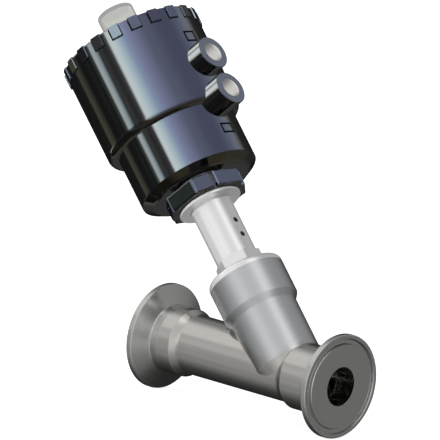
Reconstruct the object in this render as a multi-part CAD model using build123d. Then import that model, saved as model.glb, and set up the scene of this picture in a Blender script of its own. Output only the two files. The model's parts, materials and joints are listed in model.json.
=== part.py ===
from build123d import *
from math import cos, radians, sin, tan
import os

# Pneumatic seat valve, size 20, with a slanted branch, a packed spindle and a
# single-acting piston drive that springs closed. Millimetres.
# The origin is the centre of the clamp face of port 1. The pipe runs along +X
# to port 2, +Z is up, and the branch leans back over port 1.

# Pipe line
face_to_face = 114.5
bore_radius = 9.5
bore_depth = 24.5
way_inset = 0.3
pipe_wall = 4.85
stub_step = 1.95

# Clamp ferrules
clamp_radius = 25.25
clamp_rim = 2.85
clamp_back_angle = 24.0
clamp_edge_round = 0.5
ferrule_length = 11.0
groove_radius = 21.8
groove_half_width = 1.45
groove_floor_half_width = 0.87
groove_depth = 1.25

# Shoulders where the pipe thickens into the stubs
shoulder_1 = 18.7
shoulder_2 = 24.5
shoulder_length = 3.5
shoulder_crest_round = 0.8
shoulder_root_round = 4.0

# Branch of the body, measured along its own axis from the pipe's axis
branch_x = 84.5
branch_angle = 45.0
branch_radius = 16.55
branch_foot = 5.8
branch_foot_reach = 6.8
branch_root_inset = 0.6
branch_length = 27.5
head_step = 2.25
head_taper = 3.4
head_height = 16.3
branch_crease_round = 1.2

# Seat inside the body
seat_level = 8.0
seat_web = 4.0
seat_lip = 0.8
seat_lip_width = 1.3
orifice_radius = 8.75
chamber_wall = 3.05
bonnet_seat_depth = 18.0
gasket_height = 1.5
head_wall = 3.3

# Bonnet: spigot, round flange, hexagon, neck and top flange
spigot_clearance = 0.05
bonnet_flange_height = 4.0
bonnet_flange_round = 3.0
hexagon_height = 7.0
hexagon_chamfer = 0.7
neck_wall = 3.3
neck_length = 28.9
neck_flare = 0.8
neck_flare_round = 1.6
neck_rim_width = 5.5
neck_rim = 1.2
neck_rim_round = 0.5
neck_face_round = 0.3
nipple_wall = 3.25
telltale_radius = 1.35
telltale_pitch = 7.9
telltale_count = 2
telltale_angle = 87.0

# Packing in the bonnet, stacked upwards from its circlip
packing_width = 2.75
packing_step = 0.95
packing_clearance = 0.05
bonnet_lip = 1.1
circlip_height = 1.2
circlip_depth = 0.6
circlip_width = 1.7
circlip_gap = 2.4
lower_bush_height = 5.0
support_ring_height = 2.0
chevron_count = 4
chevron_pitch = 2.2
chevron_rise = 1.1
packing_spring_height = 10.0
packing_spring_wire = 1.2
packing_spring_turns = 4

# Guide and rod seal at the top of the bonnet
upper_bush_depth = 11.0
upper_bush_height = 5.0
rod_seal_height = 3.0
rod_seal_lip = 1.2
washer_height = 0.8

# Spindle and plug
spindle_radius = 5.0
running_clearance = 0.05
seal_clearance = 0.1
spindle_tip_radius = 3.5
spindle_top_radius = 4.0
stroke = 8.0
plug_side_gap = 1.5
plug_height = 5.5
plug_hub_radius = 7.6
plug_hub_height = 7.0
plug_cup_wall = 1.0
plug_cup_gap = 1.0
plug_round = 1.5
plug_seal_height = 3.0
plug_seal_cover = 1.8
retainer_side_gap = 0.95
retainer_height = 1.5
retainer_bevel = 0.6
plug_nut_height = 3.2
plug_nut_across = 10.0
plug_pin_radius = 1.25

# Housing of the drive
claw_height = 7.8
floor_height = 3.8
lower_radius = 29.5
lower_height = 29.7
lower_wall = 3.5
lower_bevel_width = 5.2
lower_bevel_height = 3.3
lower_edge_round = 0.5
lower_crown_round = 5.0
step_width = 4.5
upper_height = 51.5
upper_wall = 3.6
step_round = 3.2
step_height = 2.6
housing_top_round = 0.9
swivel_clearance = 0.05

# Grip lugs round the top of the housing
lug_count = 21
lug_height = 6.1
lug_proud = 0.7
lug_first_angle = 30.6
lug_share = 0.5
lug_edge = 0.2

# Claws under the housing, where a spanner holds it
claw_count = 2
claw_core_radius = 17.6
claw_main_flat = 17.9
claw_main_angle = 82.2
claw_main_width = 15.5
claw_main_shift = 1.2
claw_side_flat = 18.45
claw_side_angle = 51.8
claw_side_width = 9.5
claw_side_shift = -3.4
claw_wide_flat = 18.5
claw_wide_angle = 2.0
claw_wide_width = 17.0
claw_wide_shift = 0.45
claw_back_flat = 18.9
claw_back_angle = -45.9
claw_back_width = 12.6
claw_back_shift = 2.2
claw_slot_angle = 59.0
claw_slot_width = 1.7
claw_slot_depth = 2.4
claw_chamfer = 0.6

# Air ports
port_rise = 0.45
port_pitch = 19.9
port_proud = 7.9
port_wall = 2.35
port_edge = 0.3
insert_wall = 1.9
insert_depth = 8.0
insert_floor = 0.6
insert_lip_wall = 0.65
insert_lip_height = 1.0
thread_radius = 4.3
thread_chamfer = 0.45
air_way_radius = 1.6

# Swivel joint between bonnet and housing
thrust_washer_height = 0.6
thrust_washer_inset = 1.0
swivel_nut_width = 3.5
swivel_nut_height = 4.0
nut_slot_depth = 1.2
nut_slot_width = 3.0
nut_slot_count = 4
nipple_overrun = 1.2
swivel_ring_drop = 3.4

# Piston
piston_rest_gap = 1.8
piston_wall_height = 5.4
piston_land = 0.6
piston_gap = 0.3
piston_web = 3.6
piston_hub_radius = 9.5
piston_hub_height = 9.0
piston_seal_height = 2.4
piston_seal_depth = 3.0
guide_band_height = 1.6
guide_band_depth = 1.0
piston_nut_across = 13.0
piston_nut_height = 5.0
piston_washer_radius = 8.2
piston_washer_height = 1.2

# Closing springs
outer_spring_inset = 8.4
outer_spring_wire = 3.4
outer_spring_turns = 5
inner_spring_inset = 7.4
inner_spring_wire = 2.4
inner_spring_turns = 6
spring_seat_gap = 0.1

# Cover, indicator and its clear cap
cover_clearance = 0.05
cover_inset = 1.2
cover_height = 4.2
cover_skirt = 4.5
cover_skirt_wall = 3.0
cover_hub_wall = 3.5
cover_hub_height = 6.0
cover_hub_round = 0.8
cover_pocket_count = 6
cover_pocket_radius = 2.0
cover_pocket_inset = 5.85
cap_radius = 9.0
cap_wall = 1.9
cap_headroom = 1.5
cap_round = 1.4
cap_collar_width = 1.6
cap_collar_height = 1.6
cap_insertion = 5.0
indicator_gap = 0.8
indicator_rise = 2.1
indicator_length = 9.0
indicator_round = 1.0
indicator_stem_radius = 2.5

# Round seal rings in grooves
swivel_ring_wire = 0.8
cover_ring_wire = 1.0
cover_ring_rise = 2.2
cap_ring_wire = 0.5
cap_ring_rise = 1.6
piston_ring_wire = 0.7
ring_sides = 8
ring_gap = 0.05
groove_play = 0.2

# How far a cutting shape runs past a surface
overrun = 1.0

# Places that follow from the sizes above
slant = radians(branch_angle)
branch_plane = Plane(
    origin=(branch_x, 0, 0),
    x_dir=(0, -1, 0),
    z_dir=(-cos(slant), 0, sin(slant)),
)
pipe_plane = Plane(origin=(0, 0, 0), x_dir=(0, -1, 0), z_dir=(1, 0, 0))
port_2_plane = Plane(origin=(face_to_face, 0, 0), x_dir=(0, 1, 0), z_dir=(-1, 0, 0))
pipe_radius = bore_radius + pipe_wall
stub_radius = pipe_radius + stub_step
way_radius = bore_radius - way_inset
head_radius = branch_radius + head_step
head_start = branch_foot + branch_length
branch_top = head_start + head_taper + head_height
chamber_radius = branch_radius - chamber_wall
bonnet_bore_radius = head_radius - head_wall
gasket_level = branch_top - bonnet_seat_depth
bonnet_bottom = gasket_level + gasket_height
bonnet_flange_top = branch_top + bonnet_flange_height
hexagon_top = bonnet_flange_top + hexagon_height
packing_bore_radius = spindle_radius + packing_width
neck_bore_radius = packing_bore_radius - packing_step
neck_radius = neck_bore_radius + neck_wall
neck_flare_start = hexagon_top + neck_length
neck_rim_level = neck_flare_start + neck_flare
neck_rim_radius = neck_radius + neck_rim_width
neck_top = neck_rim_level + neck_rim
nipple_radius = packing_bore_radius + nipple_wall
claw_bottom = neck_top + thrust_washer_height
housing_bottom = claw_bottom + claw_height
floor_top = housing_bottom + floor_height
step_level = housing_bottom + lower_height
chamber_step = step_level + step_height
housing_top = step_level + upper_height
upper_radius = lower_radius + step_width
lower_inner_radius = lower_radius - lower_wall
upper_inner_radius = upper_radius - upper_wall
circlip_level = bonnet_bottom + bonnet_lip
lower_bush_level = circlip_level + circlip_height
lower_ring_level = lower_bush_level + lower_bush_height
chevron_level = lower_ring_level + support_ring_height
upper_ring_level = chevron_level + chevron_count * chevron_pitch
packing_spring_level = upper_ring_level + support_ring_height
packing_bore_top = packing_spring_level + packing_spring_height
swivel_nut_level = floor_top + washer_height
swivel_nut_radius = nipple_radius + swivel_nut_width
nipple_top = swivel_nut_level + swivel_nut_height + nipple_overrun
swivel_ring_level = claw_bottom + swivel_ring_drop
upper_bush_level = nipple_top - upper_bush_depth
rod_seal_level = upper_bush_level + upper_bush_height
rod_washer_level = rod_seal_level + rod_seal_height
rod_circlip_level = rod_washer_level + washer_height
port_level = step_level + port_rise
port_levels = (port_level, port_level + port_pitch)
port_reach = upper_radius + port_proud
insert_radius = thread_radius + insert_wall
insert_lip_radius = thread_radius + insert_lip_wall
port_radius = insert_radius + port_wall
seal_face = seat_level + seat_lip
plug_radius = chamber_radius - plug_side_gap
plug_seal_radius = plug_radius - plug_cup_wall
retainer_radius = orifice_radius - retainer_side_gap
plug_seal_inner = retainer_radius - plug_seal_cover
retainer_level = seal_face - retainer_height
plug_nut_level = retainer_level - plug_nut_height
plug_level = seal_face + plug_seal_height
plug_shoulder = plug_level + plug_height
plug_hub_top = plug_shoulder + plug_hub_height
piston_level = chamber_step + piston_rest_gap
piston_top = piston_level + piston_wall_height
piston_radius = upper_inner_radius - piston_gap
piston_ring_top = piston_level + 2 * piston_ring_wire + groove_play
piston_hub_top = piston_level + piston_hub_height
piston_nut_level = piston_hub_top + piston_washer_height
piston_nut_top = piston_nut_level + piston_nut_height
piston_web_top = piston_level + piston_web
outer_spring_radius = upper_inner_radius - outer_spring_inset
inner_spring_radius = outer_spring_radius - inner_spring_inset
cover_top = housing_top - cover_inset
cover_level = cover_top - cover_height
cover_radius = upper_inner_radius - cover_clearance
cover_hub_radius = cap_radius + cover_hub_wall
cover_hub_top = cover_top + cover_hub_height
cover_ring_level = cover_level - cover_skirt + cover_ring_rise
cap_inner_radius = cap_radius - cap_wall
cap_level = cover_hub_top - cap_insertion
cap_ring_level = cap_level + cap_ring_rise
indicator_radius = cap_inner_radius - indicator_gap
indicator_top = cover_hub_top + indicator_rise
indicator_level = indicator_top - indicator_length
cap_top = indicator_top + stroke + cap_headroom + cap_wall


def turned(points, rounds=()):
    """Solid of revolution about Z from radius and height pairs, with rounded corners."""
    profile = make_face(Polyline(*points, close=True))
    for corner, radius in rounds:
        vertex = profile.vertices().sort_by_distance((*corner, 0))[0]
        profile = fillet(vertex, radius)
    return revolve(Plane.XZ * profile, Axis.Z)


def ring(inner, outer, low, high):
    """Plain ring about Z."""
    return turned([(inner, low), (outer, low), (outer, high), (inner, high)])


def round_ring(centre_radius, height, wire_radius):
    """Soft ring about Z, its round section drawn with a few flats."""
    section = Plane.XZ * Pos(centre_radius, height) * RegularPolygon(wire_radius, ring_sides)
    return revolve(section, Axis.Z)


def seal_groove(surface, level, wire_radius):
    """Groove for a round ring, cut into a shaft of the given radius about Z."""
    floor = surface - 2 * wire_radius - ring_gap
    half = wire_radius + groove_play
    return ring(floor, surface + overrun, level - half, level + half)


def seal_ring(surface, level, wire_radius):
    """Round ring that lies in the groove of a shaft."""
    return on_branch(round_ring(surface - wire_radius - ring_gap / 2, level, wire_radius))


def spun(count, solid):
    """Copies of a solid spaced evenly about Z."""
    return [Rot(0, 0, 360 / count * index) * solid for index in range(count)]


def on_branch(solid):
    """Carries a solid from the Z axis to the axis of the branch."""
    return branch_plane.location * solid


def hexagon(across, low, high):
    """Hexagon bar about Z, a corner on the X axis."""
    return Pos(0, 0, low) * extrude(RegularPolygon(across / 2, 6, major_radius=False), high - low)


def coil(mean_radius, wire, low, high, turns):
    """Compression spring about Z, of square wire with flat ends."""
    path = Pos(0, 0, low + wire / 2) * Helix((high - low - wire) / turns, high - low - wire, mean_radius)
    start = Plane(origin=path @ 0, z_dir=path % 0, x_dir=(1, 0, 0))
    return sweep(start * Rectangle(wire, wire), path, is_frenet=True)


def ferrule():
    """Clamp ferrule standing on its sealing face, with the groove for its gasket."""
    back = clamp_rim + (clamp_radius - stub_radius) * tan(radians(clamp_back_angle))
    outline = [
        (bore_radius, 0),
        (clamp_radius, 0),
        (clamp_radius, clamp_rim),
        (stub_radius, back),
        (stub_radius, ferrule_length),
        (bore_radius, ferrule_length),
    ]
    rounds = [
        ((clamp_radius, 0), clamp_edge_round),
        ((clamp_radius, clamp_rim), clamp_edge_round),
        ((stub_radius, back), clamp_edge_round),
    ]
    groove = turned([
        (groove_radius - groove_half_width, -overrun),
        (groove_radius - groove_half_width, 0),
        (groove_radius - groove_floor_half_width, groove_depth),
        (groove_radius + groove_floor_half_width, groove_depth),
        (groove_radius + groove_half_width, 0),
        (groove_radius + groove_half_width, -overrun),
    ])
    return turned(outline, rounds) - groove


def pipe_skin():
    """Outside of the body's pipe, between its two welds, about Z."""
    end = face_to_face - ferrule_length
    crest_2 = face_to_face - shoulder_2
    root_1 = shoulder_1 + shoulder_length
    root_2 = crest_2 - shoulder_length
    outline = [
        (0, ferrule_length),
        (stub_radius, ferrule_length),
        (stub_radius, shoulder_1),
        (pipe_radius, root_1),
        (pipe_radius, root_2),
        (stub_radius, crest_2),
        (stub_radius, end),
        (0, end),
    ]
    rounds = [
        ((stub_radius, shoulder_1), shoulder_crest_round),
        ((pipe_radius, root_1), shoulder_root_round),
        ((pipe_radius, root_2), shoulder_root_round),
        ((stub_radius, crest_2), shoulder_crest_round),
    ]
    return pipe_plane.location * turned(outline, rounds)


def branch_skin():
    """Outside of the branch, with its tapered foot and thick head, about Z."""
    root = branch_foot - branch_foot_reach
    outline = [
        (0, root),
        (pipe_radius - branch_root_inset, root),
        (branch_radius, branch_foot),
        (branch_radius, head_start),
        (head_radius, head_start + head_taper),
        (head_radius, branch_top),
        (0, branch_top),
    ]
    rounds = [
        ((branch_radius, branch_foot), branch_crease_round),
        ((branch_radius, head_start), branch_crease_round),
        ((head_radius, head_start + head_taper), branch_crease_round),
    ]
    return on_branch(turned(outline, rounds))


def slab(low, high):
    """Everything between two levels of the branch."""
    side = 2 * face_to_face
    return on_branch(Pos(0, 0, (low + high) / 2) * Box(side, side, high - low))


def port_1_way():
    """Bore from port 1, which stops above the seat's web."""
    solid = pipe_plane.location * ring(0, way_radius, 0, branch_x)
    return solid & slab(seat_level, branch_x)


def port_2_way():
    """Bore from port 2, which stops below the seat's web."""
    low = seat_level - seat_web
    start = branch_x - low / sin(slant) - 2 * way_radius / tan(slant)
    solid = pipe_plane.location * ring(0, way_radius, start, face_to_face)
    return solid & slab(-branch_x, low)


def valve_body():
    """Cast body: pipe with a slanted branch and an oblique seat between its ways."""
    chamber = turned([
        (0, seat_level),
        (chamber_radius, seat_level),
        (chamber_radius, gasket_level),
        (bonnet_bore_radius, gasket_level),
        (bonnet_bore_radius, branch_top),
        (0, branch_top),
    ])
    lip = turned([
        (0, seat_level),
        (orifice_radius + seat_lip_width, seat_level),
        (orifice_radius + seat_lip_width / 2, seal_face),
        (0, seal_face),
    ])
    orifice = ring(0, orifice_radius, seat_level - seat_web, seal_face)
    body = pipe_skin() + branch_skin()
    body = body - on_branch(chamber) - port_1_way() - port_2_way()
    for port in (pipe_plane, port_2_plane):
        body -= port.location * ring(0, bore_radius, 0, bore_depth)
    return body + on_branch(lip - orifice) - on_branch(orifice)


def bonnet_outside():
    """Spigot, round flange, neck, top flange and threaded nipple of the bonnet."""
    outline = [
        (0, bonnet_bottom),
        (bonnet_bore_radius - spigot_clearance, bonnet_bottom),
        (bonnet_bore_radius - spigot_clearance, branch_top),
        (head_radius, branch_top),
        (head_radius, bonnet_flange_top),
        (neck_radius, bonnet_flange_top),
        (neck_radius, neck_flare_start),
        (neck_rim_radius, neck_rim_level),
        (neck_rim_radius, neck_top),
        (nipple_radius, neck_top),
        (nipple_radius, nipple_top),
        (0, nipple_top),
    ]
    rounds = [
        ((head_radius, bonnet_flange_top), bonnet_flange_round),
        ((neck_radius, neck_flare_start), neck_flare_round),
        ((neck_rim_radius, neck_rim_level), neck_rim_round),
        ((neck_rim_radius, neck_top), neck_face_round),
    ]
    return turned(outline, rounds)


def bonnet():
    """Bonnet that screws into the branch and carries the packing and the drive."""
    nut = hexagon(2 * neck_radius, bonnet_flange_top, hexagon_top)
    corner = neck_radius / cos(radians(30))
    bevel = turned([
        (0, bonnet_flange_top),
        (corner, bonnet_flange_top),
        (corner, hexagon_top - hexagon_chamfer),
        (corner - 2 * hexagon_chamfer, hexagon_top),
        (0, hexagon_top),
    ])
    inside = turned([
        (0, bonnet_bottom),
        (packing_bore_radius, bonnet_bottom),
        (packing_bore_radius, packing_bore_top),
        (neck_bore_radius, packing_bore_top),
        (neck_bore_radius, upper_bush_level),
        (packing_bore_radius, upper_bush_level),
        (packing_bore_radius, nipple_top),
        (0, nipple_top),
    ])
    body = bonnet_outside() + (nut & bevel) - inside
    for level in (circlip_level, rod_circlip_level):
        floor = packing_bore_radius + circlip_depth
        body -= ring(neck_bore_radius, floor, level, level + circlip_height)
    body -= seal_groove(nipple_radius, swivel_ring_level, swivel_ring_wire)
    for index in range(telltale_count):
        level = hexagon_top + telltale_pitch * (index + 1)
        hole = Cylinder(telltale_radius, neck_radius + overrun, align=(Align.CENTER, Align.CENTER, Align.MIN))
        body -= Pos(0, 0, level) * Rot(0, 0, telltale_angle) * Rot(0, 90, 0) * hole
    return on_branch(body)


def circlip(level):
    """Inner circlip: an open ring in its groove, with an eye at each end."""
    outer = packing_bore_radius + circlip_depth
    inner = outer - circlip_width
    clip = ring(inner, outer, level, level + circlip_height)
    gap = Pos(outer, 0, level + circlip_height / 2) * Box(4 * circlip_width, circlip_gap, circlip_height)
    return on_branch(clip - gap)


def packing_radii():
    """Inner, middle and outer radius of the rings in the packing."""
    inner = spindle_radius + seal_clearance
    outer = packing_bore_radius - packing_clearance
    return inner, (inner + outer) / 2, outer


def packing_lower_ring():
    """Support ring under the packing, with a ridge that fits into the chevrons."""
    inner, middle, outer = packing_radii()
    return on_branch(turned([
        (inner, lower_ring_level),
        (outer, lower_ring_level),
        (outer, chevron_level),
        (middle, chevron_level + chevron_rise),
        (inner, chevron_level),
    ]))


def packing_upper_ring():
    """Support ring over the packing, with a groove that fits onto the chevrons."""
    inner, middle, outer = packing_radii()
    return on_branch(turned([
        (inner, upper_ring_level),
        (middle, upper_ring_level + chevron_rise),
        (outer, upper_ring_level),
        (outer, packing_spring_level),
        (inner, packing_spring_level),
    ]))


def chevron(level):
    """One V ring of the packing."""
    inner, middle, outer = packing_radii()
    return on_branch(turned([
        (inner, level),
        (middle, level + chevron_rise),
        (outer, level),
        (outer, level + chevron_pitch),
        (middle, level + chevron_pitch + chevron_rise),
        (inner, level + chevron_pitch),
    ]))


def packing_spring():
    """Spring that keeps the packing pressed together."""
    _, middle, _ = packing_radii()
    spring = coil(middle, packing_spring_wire, packing_spring_level, packing_bore_top, packing_spring_turns)
    return on_branch(spring)


def closing_spring(mean_radius, wire, turns):
    """Spring between the piston and the cover, which closes the valve."""
    return on_branch(coil(mean_radius, wire, piston_web_top, cover_level - spring_seat_gap, turns))


def bush(low, high):
    """Guide bush in the bonnet that the spindle slides in."""
    inner = spindle_radius + running_clearance
    outer = packing_bore_radius - packing_clearance
    return on_branch(ring(inner, outer, low, high))


def rod_seal():
    """Lip seal that keeps the air of the drive out of the neck."""
    inner, middle, outer = packing_radii()
    return on_branch(turned([
        (inner, rod_seal_level),
        (outer, rod_seal_level),
        (outer, rod_washer_level),
        (middle, rod_washer_level - rod_seal_lip),
        (inner, rod_washer_level),
    ]))


def swivel_nut():
    """Slotted round nut on the bonnet's nipple that keeps the housing on it."""
    nut = ring(nipple_radius, swivel_nut_radius, swivel_nut_level, swivel_nut_level + swivel_nut_height)
    slot = Pos(swivel_nut_radius, 0, swivel_nut_level + swivel_nut_height)
    slot = slot * Box(2 * nut_slot_depth, nut_slot_width, swivel_nut_height)
    return on_branch(nut - spun(nut_slot_count, slot))


def claw_block(flat, angle, width, shift):
    """One block under the housing with a flat face for a spanner."""
    block = Box(flat, width, claw_height, align=(Align.MIN, Align.CENTER, Align.MIN))
    block = chamfer(block.edges().group_by(Axis.X)[-1], claw_chamfer)
    return Rot(0, 0, angle) * Pos(0, shift, claw_bottom) * block


def claws():
    """Ring of claws under the housing, four flats and a slot to each half, about Z."""
    core = ring(0, claw_core_radius, claw_bottom, housing_bottom)
    main = claw_block(claw_main_flat, claw_main_angle, claw_main_width, claw_main_shift)
    side = claw_block(claw_side_flat, claw_side_angle, claw_side_width, claw_side_shift)
    wide = claw_block(claw_wide_flat, claw_wide_angle, claw_wide_width, claw_wide_shift)
    back = claw_block(claw_back_flat, claw_back_angle, claw_back_width, claw_back_shift)
    slot = Box(claw_core_radius, claw_slot_width, claw_height, align=(Align.MIN, Align.CENTER, Align.MIN))
    slot = Rot(0, 0, claw_slot_angle) * Pos(claw_core_radius - claw_slot_depth, 0, claw_bottom) * slot
    body = core
    for block in (main, side, wide, back):
        body += spun(claw_count, block)
    return body - spun(claw_count, slot)


def lugs():
    """Grip lugs round the top edge of the housing."""
    width = 2 * upper_radius * sin(radians(180 / lug_count * lug_share))
    lug = Box(lug_proud + upper_wall / 2, width, lug_height, align=(Align.MAX, Align.CENTER, Align.MAX))
    lug = Pos(upper_radius + lug_proud, 0, housing_top) * lug
    lug = chamfer(lug.edges().filter_by(Axis.Z).group_by(Axis.X)[-1], lug_edge)
    return spun(lug_count, Rot(0, 0, lug_first_angle) * lug)


def port_frame(level):
    """Location on the air port's face: Z points out of the drive."""
    return Location(Plane(origin=(0, port_reach, level), x_dir=(1, 0, 0), z_dir=(0, 1, 0)))


def outward(radius, low, high, level):
    """Bar along an air port's axis, between two distances behind its face."""
    return port_frame(level) * Pos(0, 0, -high) * ring(0, radius, 0, high - low)


def housing_shell():
    """Outside of the housing less its two chambers, about Z."""
    crown_radius = lower_radius - lower_bevel_width
    edge_level = housing_bottom + lower_bevel_height
    outline = [
        (0, housing_bottom),
        (crown_radius, housing_bottom),
        (lower_radius, edge_level),
        (lower_radius, step_level),
        (upper_radius, step_level),
        (upper_radius, housing_top),
        (0, housing_top),
    ]
    rounds = [
        ((crown_radius, housing_bottom), lower_crown_round),
        ((lower_radius, edge_level), lower_edge_round),
        ((upper_radius, step_level), step_round),
        ((upper_radius, housing_top), housing_top_round),
    ]
    return turned(outline, rounds)


def housing_chambers():
    """Air chamber under the piston and spring chamber over it, about Z."""
    outline = [
        (0, floor_top),
        (lower_inner_radius, floor_top),
        (lower_inner_radius, chamber_step),
        (upper_inner_radius, chamber_step),
        (upper_inner_radius, housing_top),
        (0, housing_top),
    ]
    rounds = [((lower_inner_radius, floor_top), lower_wall)]
    return turned(outline, rounds)


def actuator_housing():
    """Moulded housing of the drive with its air ports, claws and lugs."""
    body = housing_shell() + claws() + lugs()
    for level in port_levels:
        boss = outward(port_radius, 0, port_reach - lower_inner_radius, level)
        boss = chamfer(boss.edges().group_by(Axis.Y)[-1], port_edge)
        body += boss
    body -= housing_chambers()
    body -= ring(0, nipple_radius + swivel_clearance, claw_bottom, floor_top)
    for level in port_levels:
        body -= outward(insert_lip_radius, 0, insert_lip_height, level)
        body -= outward(insert_radius, insert_lip_height, insert_depth, level)
        body -= outward(air_way_radius, insert_depth, port_reach - lower_inner_radius + overrun, level)
    return on_branch(body)


def port_insert(level):
    """Threaded metal insert moulded into an air port, its lip flush with the port's face."""
    insert = turned([
        (thread_radius, insert_floor),
        (thread_radius, insert_depth - thread_chamfer),
        (thread_radius + thread_chamfer, insert_depth),
        (insert_lip_radius, insert_depth),
        (insert_lip_radius, insert_depth - insert_lip_height),
        (insert_radius, insert_depth - insert_lip_height),
        (insert_radius, 0),
        (air_way_radius, 0),
        (air_way_radius, insert_floor),
    ])
    return on_branch(port_frame(level) * Pos(0, 0, -insert_depth) * insert)


def spindle():
    """Ground spindle from the plug to the piston, necked at both ends."""
    outline = [
        (0, plug_nut_level),
        (spindle_tip_radius, plug_nut_level),
        (spindle_tip_radius, plug_level),
        (spindle_radius, plug_level),
        (spindle_radius, piston_level),
        (spindle_top_radius, piston_level),
        (spindle_top_radius, piston_nut_top),
        (indicator_stem_radius, piston_nut_top),
        (indicator_stem_radius, indicator_level),
        (0, indicator_level),
    ]
    body = turned(outline)
    return on_branch(body - plug_pin_bar())


def plug_pin_bar():
    """Bar of the cross pin, through the plug's hub."""
    level = plug_shoulder + plug_hub_height / 2
    return Pos(0, 0, level) * Rot(90, 0, 0) * Cylinder(plug_pin_radius, 2 * plug_hub_radius)


def plug():
    """Plug with a hub on the spindle and a cup round its soft seal."""
    edge = seal_face + plug_cup_gap
    outline = [
        (spindle_radius, plug_level),
        (plug_seal_radius, plug_level),
        (plug_seal_radius, edge),
        (plug_radius, edge),
        (plug_radius, plug_shoulder),
        (plug_hub_radius, plug_shoulder),
        (plug_hub_radius, plug_hub_top),
        (spindle_radius, plug_hub_top),
    ]
    body = turned(outline, [((plug_radius, plug_shoulder), plug_round)])
    return on_branch(body - plug_pin_bar())


def plug_seal():
    """Soft sealing ring in the plug, which closes on the seat's lip."""
    return on_branch(ring(plug_seal_inner, plug_seal_radius, seal_face, plug_level))


def seal_retainer():
    """Disc that clamps the soft ring against the plug."""
    return on_branch(turned([
        (spindle_tip_radius, retainer_level),
        (retainer_radius - retainer_bevel, retainer_level),
        (retainer_radius, retainer_level + retainer_bevel),
        (retainer_radius, seal_face),
        (plug_seal_inner, seal_face),
        (plug_seal_inner, plug_level),
        (spindle_tip_radius, plug_level),
    ]))


def piston():
    """Moulded piston with a hub, a web, a rim with two grooves and ribs."""
    rim = piston_radius - 2 * piston_seal_depth
    seal_low = piston_level + piston_land
    band_low = piston_top - guide_band_height - piston_land
    seal_floor = piston_radius - piston_seal_depth
    band_floor = piston_radius - guide_band_depth
    body = turned([
        (spindle_top_radius, piston_level),
        (piston_radius, piston_level),
        (piston_radius, piston_top),
        (rim, piston_top),
        (rim, piston_web_top),
        (piston_hub_radius, piston_web_top),
        (piston_hub_radius, piston_hub_top),
        (spindle_top_radius, piston_hub_top),
    ])
    body -= ring(seal_floor, piston_radius + overrun, seal_low, seal_low + piston_seal_height)
    body -= ring(0, spindle_top_radius + 2 * piston_ring_wire + groove_play, piston_level, piston_ring_top)
    body -= ring(band_floor, piston_radius + overrun, band_low, band_low + guide_band_height)
    return on_branch(body)


def hexagon_nut(bore, across, low, high):
    """Hexagon nut on the spindle."""
    return on_branch(hexagon(across, low, high) - ring(0, bore, low, high))


def piston_seal():
    """Lip ring of the piston."""
    low = piston_level + piston_land
    floor = piston_radius - piston_seal_depth
    tip = upper_inner_radius - seal_clearance
    return on_branch(turned([
        (floor, low),
        (tip, low),
        (piston_radius, low + piston_seal_height),
        (floor, low + piston_seal_height),
    ]))


def guide_band():
    """Bearing band round the piston."""
    low = piston_top - guide_band_height - piston_land
    floor = piston_radius - guide_band_depth
    return on_branch(ring(floor, upper_inner_radius - seal_clearance, low, low + guide_band_height))


def housing_cover():
    """Cover screwed into the housing, with a hub for the clear cap."""
    skirt_low = cover_level - cover_skirt
    inner = cover_radius - cover_skirt_wall
    body = turned([
        (cap_inner_radius, cover_level),
        (inner, cover_level),
        (inner, skirt_low),
        (cover_radius, skirt_low),
        (cover_radius, cover_top),
        (cover_hub_radius, cover_top),
        (cover_hub_radius, cover_hub_top),
        (cap_inner_radius, cover_hub_top),
    ], [((cover_hub_radius, cover_hub_top), cover_hub_round), ((cover_hub_radius, cover_top), cover_hub_round)])
    body -= ring(cap_inner_radius, cap_radius, cap_level, cover_hub_top)
    body -= seal_groove(cover_radius, cover_ring_level, cover_ring_wire)
    pocket = Pos(cover_radius - cover_pocket_inset, 0, cover_top)
    pocket = pocket * Cylinder(cover_pocket_radius, 2 * cover_pocket_radius)
    return on_branch(body - spun(cover_pocket_count, pocket))


def indicator_cap():
    """Clear cap over the position indicator, screwed into the cover's hub."""
    collar_top = cover_hub_top + cap_collar_height
    body = turned([
        (cap_inner_radius, cap_level),
        (cap_radius, cap_level),
        (cap_radius, cover_hub_top),
        (cap_radius + cap_collar_width, cover_hub_top),
        (cap_radius + cap_collar_width, collar_top),
        (cap_radius, collar_top),
        (cap_radius, cap_top),
        (0, cap_top),
        (0, cap_top - cap_wall),
        (cap_inner_radius, cap_top - cap_wall),
    ], [((cap_radius, cap_top), cap_round)])
    return on_branch(body - seal_groove(cap_radius, cap_ring_level, cap_ring_wire))


def position_indicator():
    """Indicator on the spindle's stem, which rises into the clear cap."""
    body = turned([
        (0, indicator_level),
        (indicator_radius, indicator_level),
        (indicator_radius, indicator_top),
        (0, indicator_top),
    ], [((indicator_radius, indicator_top), indicator_round)])
    return on_branch(body)


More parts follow.
